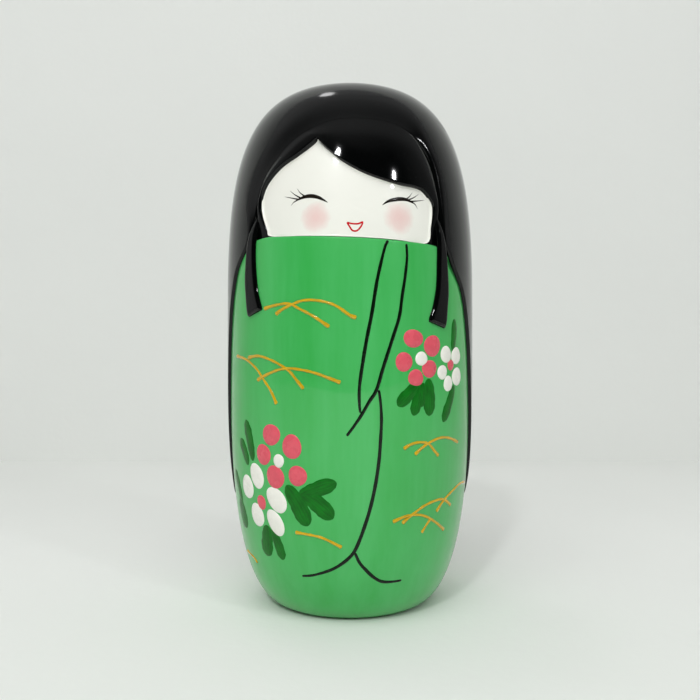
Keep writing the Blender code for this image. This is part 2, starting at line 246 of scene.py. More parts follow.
class KokeshiPaint(PropertyGroup):
    """Colours of the lacquers and enamels, and how thick the enamel lies."""

    green: colour("Kimono green", "Green lacquer", paint(54, 182, 77))
    black: colour("Hair black", "Black lacquer", (0.0012, 0.0014, 0.0014))
    white: colour("Face white", "White lacquer", paint(238, 238, 229))
    blush: colour("Blush", "Cheeks", paint(226, 150, 150))
    wood: colour("Wood", "Bare turned wood", paint(197, 166, 127))
    felt: colour("Felt", "Felt under the base", paint(38, 38, 40))
    line: colour("Fold lines", "Black enamel", paint(2, 20, 4))
    gold: colour("Grass", "Ochre enamel", paint(208, 166, 8))
    pink: colour("Pink petals", "Pink enamel", paint(220, 88, 102))
    cream: colour("White petals", "White enamel", paint(240, 239, 230))
    leaf: colour("Leaves", "Dark green enamel", paint(0, 104, 14))
    brow: colour("Eyes", "Dark brown enamel", paint(24, 18, 12))
    lips: colour("Mouth", "Red enamel", paint(196, 14, 28))
    line_width: length("Line width", "Width of the fold lines", 0.00098)
    grass_width: length("Blade width", "Width of the blades of grass", 0.00092)
    petal_lift: length("Petal lift", "How thick the petals lie", 0.00035)


class KokeshiStage(PropertyGroup):
    """Floor, wall, lamps and camera."""

    floor: colour("Floor", "Floor and wall", paint(231, 233, 229))
    camera_distance: length("Camera distance", "From the doll's axis", 0.2467)
    camera_height: length("Camera height", "Above the floor", 0.0736)
    wall_distance: length("Wall distance", "From the doll's axis", 0.30)
    lens: FloatProperty(name="Lens", description="Focal length in millimetres", default=42.4)
    key: FloatProperty(name="Key", description="Power of the front lamps", default=1.0, unit="POWER")


def smooth(share):
    """A share from 0 to 1, eased at both ends."""
    share = min(1.0, max(0.0, share))
    return share * share * (3 - 2 * share)


def mix(first, second, share):
    """A number between two others."""
    return first + (second - first) * share


def valley(distance, reach, drop):
    """How far a soft slope has fallen, at a distance from its foot: all of the drop there."""
    return drop * (1 - smooth(distance / reach))


def rounding(distance, reach, drop):
    """How far a rounded edge has fallen, at a distance from it: all of the drop at the edge."""
    if distance >= reach:
        return 0.0
    return drop * (1 - sqrt(max(0.0, 1 - (1 - max(0.0, distance) / reach) ** 2)))


def curve(points):
    """A Catmull-Rom curve through open points."""
    ends = [points[0], *points, points[-1]]
    run = []
    for a, b, c, d in zip(ends, ends[1:], ends[2:], ends[3:]):
        for step in range(SPANS):
            t = step / SPANS
            run.append(tuple(
                b[k] + 0.5 * t * (
                    c[k] - a[k] + t * (2 * a[k] - 5 * b[k] + 4 * c[k] - d[k])
                    + t * t * (3 * b[k] - a[k] - 3 * c[k] + d[k])
                )
                for k in (0, 1)
            ))
    return run + [points[-1]]


class Skin:
    """The doll's turned outside shape, and places on it."""

    def __init__(self, shape):
        self.radius, self.foot = shape.radius, shape.foot_radius
        self.widest = COLLAR - shape.shoulder_drop
        self.dome, self.hip, self.foot_power = shape.dome_power, shape.hip_power, shape.foot_power

    def radius_at(self, height):
        """Outside radius at a height."""
        if height >= self.widest:
            share = min(1.0, (height - self.widest) / (HEIGHT - self.widest))
            return self.radius * (1 - share**self.dome) ** (1 / self.dome)
        swell = (1 - (1 - max(0.0, height) / self.widest) ** self.hip) ** (1 / self.foot_power)
        return self.foot + (self.radius - self.foot) * swell

    def dome_height(self, radius):
        """Height of the dome where it has a radius."""
        share = (1 - (radius / self.radius) ** self.dome) ** (1 / self.dome)
        return self.widest + (HEIGHT - self.widest) * share

    def normal_at(self, height):
        """The outward normal at a height, as its horizontal and vertical parts."""
        if height > self.widest:
            rise = HEIGHT - self.widest
            out = (self.radius_at(height) / self.radius) ** (self.dome - 1) / self.radius
            up = (min(1.0, (height - self.widest) / rise)) ** (self.dome - 1) / rise
        else:
            near = 0.00005
            out = 2 * near
            up = self.radius_at(height - near) - self.radius_at(height + near)
        size = hypot(out, up)
        return out / size, up / size

    def place(self, azimuth, height, depth=0.0):
        """The point under the outside shape at an azimuth, a height and a depth."""
        out, up = self.normal_at(height)
        reach = self.radius_at(height) - out * depth
        turn = radians(azimuth)
        return Vector((reach * sin(turn), -reach * cos(turn), height - up * depth))

    def step(self, azimuth, height, east, north):
        """The azimuth and height reached by going east and north over the skin."""
        out = self.normal_at(height)[0]
        turn = degrees(east / max(0.002, self.radius_at(height)))
        return azimuth + turn, height + north * out

    def run(self, start, end):
        """How far east and north the skin runs from one azimuth and height to another."""
        height = (start[1] + end[1]) / 2
        east = radians(end[0] - start[0]) * self.radius_at(height)
        return east, (end[1] - start[1]) / max(0.05, self.normal_at(height)[0])


def doll_shape(scene):
    """The doll's sizes, and the outside shape that they give."""
    return scene.kokeshi_shape, Skin(scene.kokeshi_shape)


class Route:
    """A smooth line over the skin through azimuths and heights."""

    def __init__(self, skin, points):
        self.skin = skin
        self.line = [(azimuth, height * MM) for azimuth, height in curve(points)]
        self.reach = [0.0]
        for start, end in zip(self.line, self.line[1:]):
            self.reach.append(self.reach[-1] + max(1e-9, hypot(*skin.run(start, end))))
        self.length = self.reach[-1]

    def at(self, distance):
        """The azimuth and height at a distance along the line."""
        index = min(len(self.line) - 2, max(0, bisect_right(self.reach, distance) - 1))
        span = self.reach[index + 1] - self.reach[index]
        share = (distance - self.reach[index]) / span
        start, end = self.line[index], self.line[index + 1]
        return mix(start[0], end[0], share), mix(start[1], end[1], share)

    def heading(self, distance):
        """The way the line runs at a distance, east and north."""
        near = min(0.0005, self.length / 8)
        low, high = max(0.0, distance - near), min(self.length, distance + near)
        east, north = self.skin.run(self.at(low), self.at(high))
        size = max(1e-12, hypot(east, north))
        return east / size, north / size

    def beside(self, distance, offset):
        """The azimuth and height at an offset to the left of the line."""
        east, north = self.heading(distance)
        return self.skin.step(*self.at(distance), -north * offset, east * offset)


# Mesh helpers

class Carving:
    """A piece in the making: sheets that are joined, and then given their thickness."""

    def __init__(self):
        self.bm = bmesh.new()
        self.bm.loops.layers.uv.new("UVMap")
        self.column = self.bm.verts.layers.int.new("column")
        self.row = self.bm.verts.layers.int.new("row")
        self.kind = self.bm.verts.layers.int.new("kind")
        self.places = []

    def sheet(self, columns, rows, place):
        """A grid whose corners lie where place puts them, from a column, a row and a layer."""
        made = bmesh.ops.create_grid(
            self.bm, x_segments=columns, y_segments=rows, size=0.5, calc_uvs=True
        )["verts"]
        for vert in made:
            vert[self.column] = round((vert.co.x + 0.5) * columns)
            vert[self.row] = round((vert.co.y + 0.5) * rows)
            vert[self.kind] = len(self.places)
            vert.co = place(vert[self.column], vert[self.row], 0)
        self.places.append(place)

    def join(self):
        """Closes seams and poles."""
        bmesh.ops.remove_doubles(self.bm, verts=self.bm.verts, dist=WELD)
        bmesh.ops.dissolve_degenerate(self.bm, edges=self.bm.edges, dist=WELD / 2)

    def thicken(self):
        """Gives the joined sheets their inner side, on layer 1."""
        self.join()
        bmesh.ops.recalc_face_normals(self.bm, faces=self.bm.faces)
        swept = bmesh.ops.extrude_face_region(self.bm, geom=self.bm.faces[:])["geom"]
        for item in swept:
            if isinstance(item, bmesh.types.BMVert):
                item.co = self.places[item[self.kind]](item[self.column], item[self.row], 1)


def eased(step, steps):
    """The share of the way at a step, with short steps near both ends."""
    return (1 - cos(pi * step / steps)) / 2


def finish_piece(name, carving, look, replaces=()):
    """Closes a carving into a named piece that rides on the doll, sharp at its tight corners."""
    carving.join()
    bm = carving.bm
    bmesh.ops.recalc_face_normals(bm, faces=bm.faces)
    mesh = bpy.data.meshes.new(name)
    bm.to_mesh(mesh)
    bm.free()
    mesh.shade_smooth()
    mesh.set_sharp_from_angle(angle=radians(50))
    mesh.materials.append(bpy.data.materials[look])
    piece = bpy.data.objects.new(name, mesh)
    bpy.context.scene.collection.objects.link(piece)
    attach(piece, BODY)
    if replaces:
        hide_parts(*replaces)
    return piece


def stroke(carving, skin, points, width, lift, depth, form, sides=12, step=0.0006):
    """A bead of enamel along a route; form gives its width and lift at a share of the way."""
    route = Route(skin, points)
    rows = max(12, round(route.length / step))

    def place(column, row, _layer):
        distance = route.length * eased(row, rows)
        size = min(1.4, form(distance, route.length, width / 2))
        turn = 2 * pi * column / sides
        azimuth, height = route.beside(distance, width / 2 * size * cos(turn))
        rise = sin(turn) * (lift if sin(turn) > 0 else SINK) * min(1.0, size)
        return skin.place(azimuth, height, depth - rise)

    carving.sheet(sides, rows, place)


def bead(distance, total, half):
    """Even, with round ends."""
    near = min(distance, total - distance) / half
    return 1.0 if near >= 1 else sqrt(max(0.0, 1 - (1 - near) ** 2))


def drawn_line(distance, total, half):
    """A brush line that thins towards both ends."""
    share = distance / total
    wave = 0.04 * sin(distance * 1100)
    return bead(distance, total, half) * (1 - 0.3 * abs(2 * share - 1) ** 3 + wave)


def blade(distance, total, half):
    """Loaded at both ends, drawn thinner between, a little uneven."""
    share = distance / total
    wave = 0.08 * sin(distance * 1900) + 0.05 * sin(distance * 4300 + 1)
    return bead(distance, total, half * 0.8) * (0.78 + 0.45 * (2 * share - 1) ** 4 + wave)


def lobe(distance, total, half):
    """Blunt at both ends, widest past its middle, with a brush's uneven sides."""
    share = distance / total
    blunt = max(0.0, 1 - (1 - min(1.0, share / 0.42)) ** 2.6) ** 0.6
    tail = max(0.0, 1 - (1 - min(1.0, (1 - share) / 0.3)) ** 2) ** 0.5
    wave = 1 + 0.045 * sin(distance * 2600 + half * 9000)
    wave += 0.03 * sin(distance * 5300 + half * 7000)
    return blunt * tail * mix(1.0, 0.78, smooth(share)) * wave


def hair_line(distance, total, _half):
    """Drawn out to a point."""
    share = distance / total
    return sqrt(max(0.0, 1 - share)) * (1 - 0.35 * share)


def lid(distance, total, _half):
    """Thick in the middle and thin at both ends."""
    share = distance / total
    return max(0.0, sin(pi * share)) ** 0.8 if 0 < share < 1 else 0.0


def dab(carving, skin, azimuth, height, wide, tall, lean, lift, depth):
    """A rounded dab of thick enamel."""
    made = bmesh.ops.create_uvsphere(
        carving.bm, u_segments=32, v_segments=14, radius=1.0, calc_uvs=True
    )
    turn = radians(lean)
    for vert in made["verts"]:
        spread = min(1.0, hypot(vert.co.x, vert.co.y))
        angle = atan2(vert.co.y, vert.co.x)
        uneven = 1 + 0.025 * sin(2 * angle + azimuth) + 0.02 * sin(3 * angle + height)
        x, y = vert.co.x * wide * uneven, vert.co.y * tall * uneven
        east, north = x * cos(turn) + y * sin(turn), y * cos(turn) - x * sin(turn)
        rise = lift * (1 - spread**3) ** 0.6 if vert.co.z > -1e-6 else -SINK * (1 - spread)
        vert.co = skin.place(*skin.step(azimuth, height * MM, east * MM, north * MM), depth - rise)


# Materials

class Socket:
    """A shader socket that Python's plus, minus and times act on through Math nodes."""

    def __init__(self, finish, socket):
        self.finish, self.socket = finish, socket

    def math(self, operation, first, second):
        return self.finish.node("Math", {"operation": operation}, {0: first, 1: second})

    def __add__(self, other):
        return self.math("ADD", self, other)

    def __radd__(self, other):
        return self.math("ADD", other, self)

    def __sub__(self, other):
        return self.math("SUBTRACT", self, other)

    def __rsub__(self, other):
        return self.math("SUBTRACT", other, self)

    def __mul__(self, other):
        return self.math("MULTIPLY", self, other)

    def __rmul__(self, other):
        return self.math("MULTIPLY", other, self)


class Finish:
    """A material, or the world, under construction."""

    def __init__(self, name, world=False):
        self.material = (bpy.data.worlds if world else bpy.data.materials).new(name)
        self.material.use_nodes = True
        self.tree = self.material.node_tree
        self.shader = self.tree.nodes["Background" if world else "Principled BSDF"]

    def put(self, target, value):
        """Links a Socket to a node's input, or sets the input's value."""
        if isinstance(value, Socket):
            self.tree.links.new(value.socket, target)
        elif isinstance(value, (tuple, list)) and target.type == "RGBA" and len(value) == 3:
            target.default_value = (*value, 1.0)
        else:
            target.default_value = value

    def node(self, kind, options=None, inputs=None, output=0):
        """A node by its type, with its settings and then its sockets' values or links."""
        made = self.tree.nodes.new("ShaderNode" + kind)
        for key, value in (options or {}).items():
            if key == "stops":
                ramp = made.color_ramp.elements
                while len(ramp) < len(value):
                    ramp.new(1.0)
                for element, (position, shade) in zip(ramp, value):
                    element.position = position
                    element.color = (shade, shade, shade, 1.0)
            else:
                setattr(made, key, value)
        for key, value in (inputs or {}).items():
            self.put(made.inputs[key], value)
        return Socket(self, made.outputs[output])

    def place(self):
        """Object coordinates."""
        return self.node("TexCoord", output="Object")

    def noise(self, scale, detail=3.0, roughness=0.5, stretch=None, vector=None):
        """Noise from 0 to 1 over the piece."""
        vector = vector or self.place()
        if stretch:
            vector = self.node("Mapping", None, {"Vector": vector, "Scale": stretch})
        return self.node(
            "TexNoise", None,
            {"Vector": vector, "Scale": scale, "Detail": detail, "Roughness": roughness},
        )

    def ramp(self, value, *stops):
        """A grey ramp of a value."""
        return self.node("ValToRGB", {"stops": stops}, {"Fac": value})

    def blend(self, share, first, second):
        """A mix of two colours."""
        return self.node(
            "Mix", {"data_type": "RGBA"}, {"Factor": share, 6: first, 7: second}, output=2
        )

    def bump(self, height, distance=RIPPLE):
        """A normal from a height."""
        return self.node("Bump", None, {"Height": height, "Distance": distance})

    def set(self, **values):
        """Sets or links the shader's own sockets, named with underscores."""
        for key, value in values.items():
            self.put(self.shader.inputs[key.replace("_", " ").title().replace("Ior", "IOR")], value)
        return self.material

    def lacquer(self, tone, wear, rough, height, level, coat=0.0, coat_roughness=0.05):
        """Lacquer: its colour, roughness from low to high with the wear, surface and shine."""
        return self.set(
            base_color=tone, roughness=self.ramp(wear, (0.3, rough[0]), (0.8, rough[1])),
            normal=self.bump(height), specular_ior_level=level, coat_weight=coat,
            coat_roughness=coat_roughness,
        )


def shade(tone, factor):
    """A colour made lighter or darker."""
    return tuple(min(1.0, part * factor) for part in tone[:3])


def kimono_lacquer(paints):
    """Brushed green lacquer under a clear coat, a little cloudy where it was wiped on."""
    made = Finish("kimono_lacquer")
    clouds = made.ramp(made.noise(42, 4), (0.3, 0.0), (0.7, 1.0))
    streaks = made.noise(110, 3, 0.55, stretch=(1.0, 1.0, 0.07))
    brushed = made.ramp(streaks, (0.32, 0.0), (0.68, 1.0))
    grain = made.noise(900, 2, stretch=(1.0, 1.0, 0.16))
    cover = clouds * 0.25 + brushed * 0.5 + grain * 0.25
    thin = (0.078, 0.49, 0.135)
    tone = made.blend(cover, shade(paints.green, 0.82), thin)
    orange_peel = made.noise(520, 2) * 0.6 + made.noise(90, 2) * 3.0
    return made.lacquer(tone, made.noise(260, 3), (0.3, 0.4), orange_peel, 0.2, 0.6, 0.04)


def hair_lacquer(name, paints, gloss):
    """Deep black lacquer with a soft orange peel and a few specks of dust."""
    made = Finish(name)
    dust = made.ramp(made.noise(2600, 1), (0.74, 0.0), (0.8, 1.0))
    tone = made.blend(dust * 0.5, tuple(paints.black), (0.03, 0.032, 0.03))
    orange_peel = made.noise(420, 2) * 0.5 + made.noise(75, 2) * 3.5
    return made.lacquer(tone, made.noise(200, 3), (gloss, gloss * 1.6), orange_peel, 0.3)


def face_lacquer(paints, skin, depth):
    """White lacquer with two soft cheeks rubbed into it."""
    made = Finish("face_lacquer")
    tone = made.blend(made.noise(60, 3), shade(paints.white, 0.96), shade(paints.white, 1.03))
    for (azimuth, height), reach in CHEEKS:
        centre = skin.place(azimuth, height * MM, depth)
        away = made.node(
            "VectorMath", {"operation": "DISTANCE"}, {0: made.place(), 1: tuple(centre)}, output="Value"
        )
        edge = away * (1 / (reach * MM)) + (made.noise(500, 3) - 0.5) * 0.35
        rubbed = made.ramp(edge, (0.15, 0.46), (0.55, 0.34), (1.0, 0.0))
        tone = made.blend(rubbed, tone, tuple(paints.blush))
    orange_peel = made.noise(420, 2) * 0.5 + made.noise(110, 2) * 2.0
    return made.lacquer(tone, made.noise(260, 3), (0.3, 0.4), orange_peel, 0.25, 0.6, 0.06)


def enamel(name, tone, vary, coat=0.35):
    """Thick enamel, slightly uneven in colour and surface."""
    made = Finish(name)
    mottle = made.ramp(made.noise(520, 4, 0.6), (0.3, 0.0), (0.7, 1.0))
    tone = made.blend(mottle, shade(tone, 1 - vary), shade(tone, 1 + vary))
    return made.lacquer(tone, made.noise(400, 2), (0.22, 0.34), made.noise(700, 3) * 1.6, 0.2, coat)


def brushed_enamel(name, dark, light, streaks, gloss, coat):
    """Enamel drawn out by a brush, so that streaks run along each stroke."""
    made = Finish(name)
    along = made.node("UVMap", {"uv_map": "UVMap"})
    drawn = made.noise(streaks, 4, 0.65, stretch=(1.0, 0.07, 1.0), vector=along)
    pooled = made.noise(380, 3)
    share = made.ramp(drawn * 0.7 + pooled * 0.3, (0.38, 0.0), (0.62, 1.0))
    tone = made.blend(share, dark, light)
    return made.lacquer(tone, pooled, (gloss, gloss + 0.12), drawn * 5.0, 0.2, coat)


def turned_wood(paints):
    """Turned hardwood: grain along the axis and fine tool rings."""
    made = Finish("turned_wood")
    grain = made.noise(260, 5, 0.6, stretch=(1.0, 1.0, 0.06))
    pores = made.ramp(made.noise(1800, 2, stretch=(1.0, 1.0, 0.05)), (0.62, 0.0), (0.7, 1.0))
    tone = made.blend(grain, shade(paints.wood, 0.72), shade(paints.wood, 1.1))
    tone = made.blend(pores * 0.5, tone, shade(paints.wood, 0.45))
    rings = made.node("TexWave", {"bands_direction": "Z"}, {"Vector": made.place(), "Scale": 900.0})
    surface = grain * 2.0 + rings * 0.8 - pores * 3.0
    return made.set(base_color=tone, roughness=0.58, normal=made.bump(surface))


def pressed_felt(paints):
    """Pressed felt: short matted fibres."""
    made = Finish("pressed_felt")
    fibres = made.noise(2400, 5, 0.75)
    mat = made.noise(420, 4, 0.6)
    tone = made.blend(fibres * 0.6 + mat * 0.4, shade(paints.felt, 0.5), shade(paints.felt, 2.2))
    return made.set(
        base_color=tone, roughness=0.96, normal=made.bump(fibres * 9.0 + mat * 14.0),
        sheen_weight=0.4, sheen_roughness=0.5,
    )


def studio_paint(tone):
    """Matt painted board for the stage."""
    made = Finish("studio_paint")
    patches = made.noise(9, 4)
    return made.set(
        base_color=made.blend(patches, shade(tone, 0.98), shade(tone, 1.02)), roughness=0.9,
        normal=made.bump(made.noise(300, 4), 0.0001),
    )


# Pieces

def collar_shift(azimuth):
    """How far the collar's edge is off its height at the front: tilted, lower at its corners."""
    slope, slope_end = 0.000027, 55.0
    corner_start, corner_width, corner_drop = 36, 10, 0.0007
    corner = max(0.0, abs(azimuth) - corner_start) / corner_width
    tilt = -slope * max(-slope_end, min(slope_end, azimuth))
    return tilt - corner_drop * min(1.0, corner * corner)


def kimono_profile(skin, shape):
    """The kimono's turned outline: out over the collar, down the outside, up the bores."""
    edge = shape.edge
    felt_low, felt_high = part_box("base_felt")
    plug_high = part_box("base_plug")[1]
    dowel_low, dowel_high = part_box("neck_dowel")
    socket, socket_floor = dowel_high.x + GAP, dowel_low.z - GAP
    foot = felt_low.z + 0.0004
    rim = skin.radius_at(COLLAR) - shape.kimono_depth
    line = [(0.0, socket_floor), (socket, socket_floor), (socket, COLLAR)]
    line += [(socket + 0.008, COLLAR), (rim - shape.hood_depth, COLLAR)]
    arc = 6
    for step in range(arc + 1):
        turn = pi / 2 * step / arc
        line.append((rim - edge + edge * sin(turn), COLLAR - edge + edge * cos(turn)))
    rows, crowding = 96, 1.6  # closer together towards the foot
    top, low = COLLAR - edge, foot + edge * 0.3
    hem_row = round(rows * (1 - (1 - (top - HEM + GAP) / (top - low)) ** (1 / crowding)))
    for step in range(1, rows + 1):
        height = mix(top, low, 1 - (1 - step / rows) ** crowding)
        if step == hem_row:
            height = HEM - GAP
        line.append((skin.radius_at(height) - shape.kimono_depth, height))
    line += [(line[-1][0] - edge * 0.6, foot)]
    line += [(felt_high.x + GAP, foot), (felt_high.x + GAP, felt_high.z + GAP)]
    line += [(plug_high.x + GAP, felt_high.z + GAP), (plug_high.x + GAP, plug_high.z + GAP)]
    bore, bore_top = plug_high.x - 0.0028, socket_floor - 0.014
    return line + [(bore, plug_high.z + GAP), (bore, bore_top), (0.0, bore_top)]


def make_kimono(scene):
    """The green body, with a rebate that takes the hair."""
    shape, skin = doll_shape(scene)
    carving = Carving()
    bm = carving.bm
    points = [bm.verts.new((radius, 0.0, height)) for radius, height in kimono_profile(skin, shape)]
    edges = [bm.edges.new(pair) for pair in zip(points, points[1:])]
    bmesh.ops.spin(
        bm, geom=points + edges, axis=(0, 0, 1), cent=(0, 0, 0), angle=2 * pi, steps=144, use_merge=True
    )
    bmesh.ops.remove_doubles(bm, verts=bm.verts, dist=WELD)
    border = 60.0  # degrees from the front to the rebate, before the columns turn to its edge
    behind = 0.6  # degrees that the rebate's edge lies behind the hair's edge
    still = 0.003  # the columns stay where they are below this height
    deep = shape.hood_depth + GAP
    hidden = []
    for face in bm.faces:
        middle = face.calc_center_median()
        azimuth = degrees(atan2(middle.x, -middle.y))
        outer = hypot(middle.x, middle.y) > skin.radius_at(middle.z) - deep + 0.0001
        if abs(azimuth) > border and middle.z > HEM - GAP and outer:
            hidden.append(face)
    opening = Route(skin, OPENING)
    sides = edge_by_height(opening)
    swept = bmesh.ops.extrude_face_region(bm, geom=hidden)["geom"]
    inner = {item for item in swept if isinstance(item, bmesh.types.BMVert)}
    for vert in bm.verts:
        azimuth = degrees(atan2(vert.co.x, -vert.co.y))
        reach = hypot(vert.co.x, vert.co.y)
        if vert in inner:
            reach = min(reach, skin.radius_at(vert.co.z) - deep)
        if reach > shape.radius * 0.4 and vert.co.z > still:
            edge_azimuth = sides(azimuth > 0, max(vert.co.z, HEM)) + behind
            pull = smooth((vert.co.z - still) / (HEM - 2 * still))
            edge_azimuth = mix(border, edge_azimuth, pull)
            if abs(azimuth) <= border:
                azimuth *= edge_azimuth / border
            else:
                share = (abs(azimuth) - border) / (180 - border)
                azimuth = (1 if azimuth > 0 else -1) * mix(edge_azimuth, 180, share)
        turn = radians(azimuth)
        lift = collar_shift(azimuth) * smooth((vert.co.z - COLLAR + 0.012) / 0.011)
        lift *= smooth(reach / 0.02 - 0.5)
        vert.co = (reach * sin(turn), -reach * cos(turn), vert.co.z + lift)
    finish_piece("kimono", carving, "kimono_lacquer", ["kimono_body"])


def edge_by_height(opening):
    """The hood edge's distance from the front, in degrees, on either side at a height."""
    sides = {}
    for right in (False, True):
        walk = opening.line[::-1] if right else opening.line
        climb = []
        for azimuth, height in walk:
            if climb and height < climb[-1][0]:
                break
            climb.append((height, abs(azimuth)))
        sides[right] = climb

    def lookup(right, height):
        climb = sides[right]
        for (low, near), (high, far) in zip(climb, climb[1:]):
            if low <= height <= high:
                return mix(near, far, (height - low) / max(1e-9, high - low))
        return climb[0][1] if height < climb[0][0] else climb[-1][1]

    return lookup


def make_hood(scene):
    """The hair over the crown, the sides and the back, with a rounded carved edge."""
    shape, skin = doll_shape(scene)
    opening = Route(skin, OPENING)
    top = opening.reach[OPENING_TOP * SPANS]
    arc, extra, sheet_columns = 8, (0.0004, 0.0010, 0.0018), 96
    border = arc + len(extra)
    columns = 2 * border + sheet_columns
    hem_rows = (0.0, 0.0007, 0.0018, 0.0034, 0.0055, 0.0085)
    hem_round = 0.0009
    side_rows, cap_rows = 118, 26
    shares = list(hem_rows) + [mix(hem_rows[-1], 1.0, k / side_rows) for k in range(1, side_rows + 1)]
    rows = len(shares) - 1

    def carved(azimuth, height):
        """Reach, drop and sharpness of the carved edge: wide and soft over the forehead."""
        share = smooth((height - COLLAR) / 0.014)
        sharp = smooth((azimuth - 28) / 12)
        reach = mix(BROW_REACH, TEMPLE_REACH, sharp)
        drop = mix(BROW_DROP, shape.crease_depth, sharp)
        return mix(LEDGE_REACH, reach, share), mix(LEDGE_DROP, drop, share), mix(1.0, sharp, share)

    def from_edge(distance, index):
        """A place behind the edge, on the column of an index, and its depth."""
        start = opening.at(distance)
        reach, drop, sharp = carved(*start)
        if index <= arc:
            away = reach * (1 - cos(pi / 2 * index / arc))
        else:
            away = reach + extra[index - arc - 1]
        near_hem = min(distance, opening.length - distance)
        level = 1 - smooth(near_hem / 0.010)
        east, north = opening.heading(distance)
        side = -1 if distance < opening.length / 2 else 1
        go_east, go_north = mix(-north, side, level), mix(east, 0.0, level)
        size = hypot(go_east, go_north)
        spot = skin.step(*start, away * go_east / size, away * go_north / size)
        return spot, mix(valley(away, reach, drop), rounding(away, reach, drop), sharp)

    crown_seam = from_edge(top, border)[0]

    def outer_place(column, row):
        """Azimuth, height and depth of a corner of the side rows."""
        left, right = shares[row] * top, opening.length - shares[row] * (opening.length - top)
        if column <= border:
            return from_edge(left, column)
        if column >= columns - border:
            spot, depth = from_edge(right, columns - column)
            return (spot[0] - 360, spot[1]), depth
        share = (column - border) / sheet_columns
        start, end = from_edge(left, border)[0], from_edge(right, border)[0]
        azimuth = mix(start[0], end[0] - 360, share)
        behind = mix(HEM, crown_seam[1], shares[row])
        level = mix(start[1], end[1], share)
        return (azimuth, mix(level, behind, smooth(min(share, 1 - share) / 0.3))), 0.0

    def side_place(column, row, layer):
        (azimuth, height), depth = outer_place(column, row)
        fall = rounding((height - HEM) / skin.normal_at(height)[0], hem_round, hem_round)
        return skin.place(azimuth, height, shape.hood_depth if layer else max(depth, fall))

    def cap_place(column, row, layer):
        start = skin.radius_at(crown_seam[1])
        radius = start * (1 - row / cap_rows)
        height = skin.dome_height(radius) if row else crown_seam[1]
        azimuth = outer_place(column + border, rows)[0][0]
        return skin.place(azimuth, height, shape.hood_depth if layer else 0.0)

    carving = Carving()
    carving.sheet(columns, rows, side_place)
    carving.sheet(sheet_columns, cap_rows, cap_place)
    carving.thicken()
    finish_piece("hood", carving, "hood_lacquer", ["hair_hood"])


def face_lap(height):
    """How far the hair laps over the face: less low down, where the face's rim shows."""
    return mix(-0.00022, 0.00008, smooth((height - COLLAR - 0.008) / 0.004))


def hair_band(carving, skin, low, high, relief, base, rows, columns, face_side=0):
    """Hair between two routes, with a relief and a base that give its two sides' depths.

    A face side of 1 or -1, for the side of the low route that the face is on, laps the hair
    over the face and runs it on under the hood.
    """
    low, high = Route(skin, low), Route(skin, high)

    def place(column, row, layer):
        along, across = eased(row, rows) * 0.35 + 0.65 * row / rows, eased(column, columns)
        start, end = low.at(low.length * along), high.at(high.length * along)
        if face_side:
            shown = face_side * smooth(along / 0.03)
            start = low.beside(low.length * along, shown * face_lap(start[1]))
            end = high.beside(high.length * along, -shown * TUCK)
        width = hypot(*skin.run(start, end))
        azimuth, height = mix(start[0], end[0], across), mix(start[1], end[1], across)
        if layer:
            depth = base(along) if callable(base) else base
        else:
            depth = relief(across * width, (1 - across) * width, width, along, height)
        return skin.place(azimuth, height, depth)

    carving.sheet(columns, rows, place)


def brow_fall(shape, near_hood, width):
    """How far the inner hair falls to the hood over the forehead."""
    reach = min(BROW_REACH, width * 0.5)
    return valley(near_hood - TUCK, reach, BROW_DROP + UNDER - shape.fringe_swell)


def crease_fall(shape, near_hood, width, along):
    """How far the inner hair falls to the hood: softly over the forehead, steeply beside it."""
    reach = min(CREASE_REACH, width * 0.5)
    steep = rounding(near_hood - TUCK, reach, shape.crease_depth + UNDER - shape.fringe_swell)
    return mix(brow_fall(shape, near_hood, width), steep, smooth((along - 0.4) / 0.25))


def inner_depth(shape, near_face, width, height, rise, fall):
    """Depth of the inner hair: round at the face, and sunk into the crease near the collar."""
    sunk = mix(shape.crease_depth + SUNK, shape.fringe_swell, smooth((height - COLLAR) / rise))
    rim = rounding(near_face, min(RIM_REACH, width * 0.45), RIM_DROP)
    return min(sunk + max(rim, fall), shape.hood_depth - THIN)


def make_fringe(scene):
    """The fringe swept over the forehead and down beside the face."""
    shape, skin = doll_shape(scene)

    def relief(near_face, near_hood, width, along, height):
        fall = crease_fall(shape, near_hood, width, along)
        fall += valley(near_face, min(BELLY_REACH, width * 0.6), BELLY) * smooth(along / 0.1)
        return inner_depth(shape, near_face, width, height, 0.010, fall)

    carving = Carving()
    hair_band(
        carving, skin, FRINGE_LOW, FRINGE_HIGH, relief, shape.hood_depth,
        rows=120, columns=34, face_side=-1,
    )
    carving.thicken()
    finish_piece("fringe", carving, "fringe_lacquer", ["hair_fringe"])


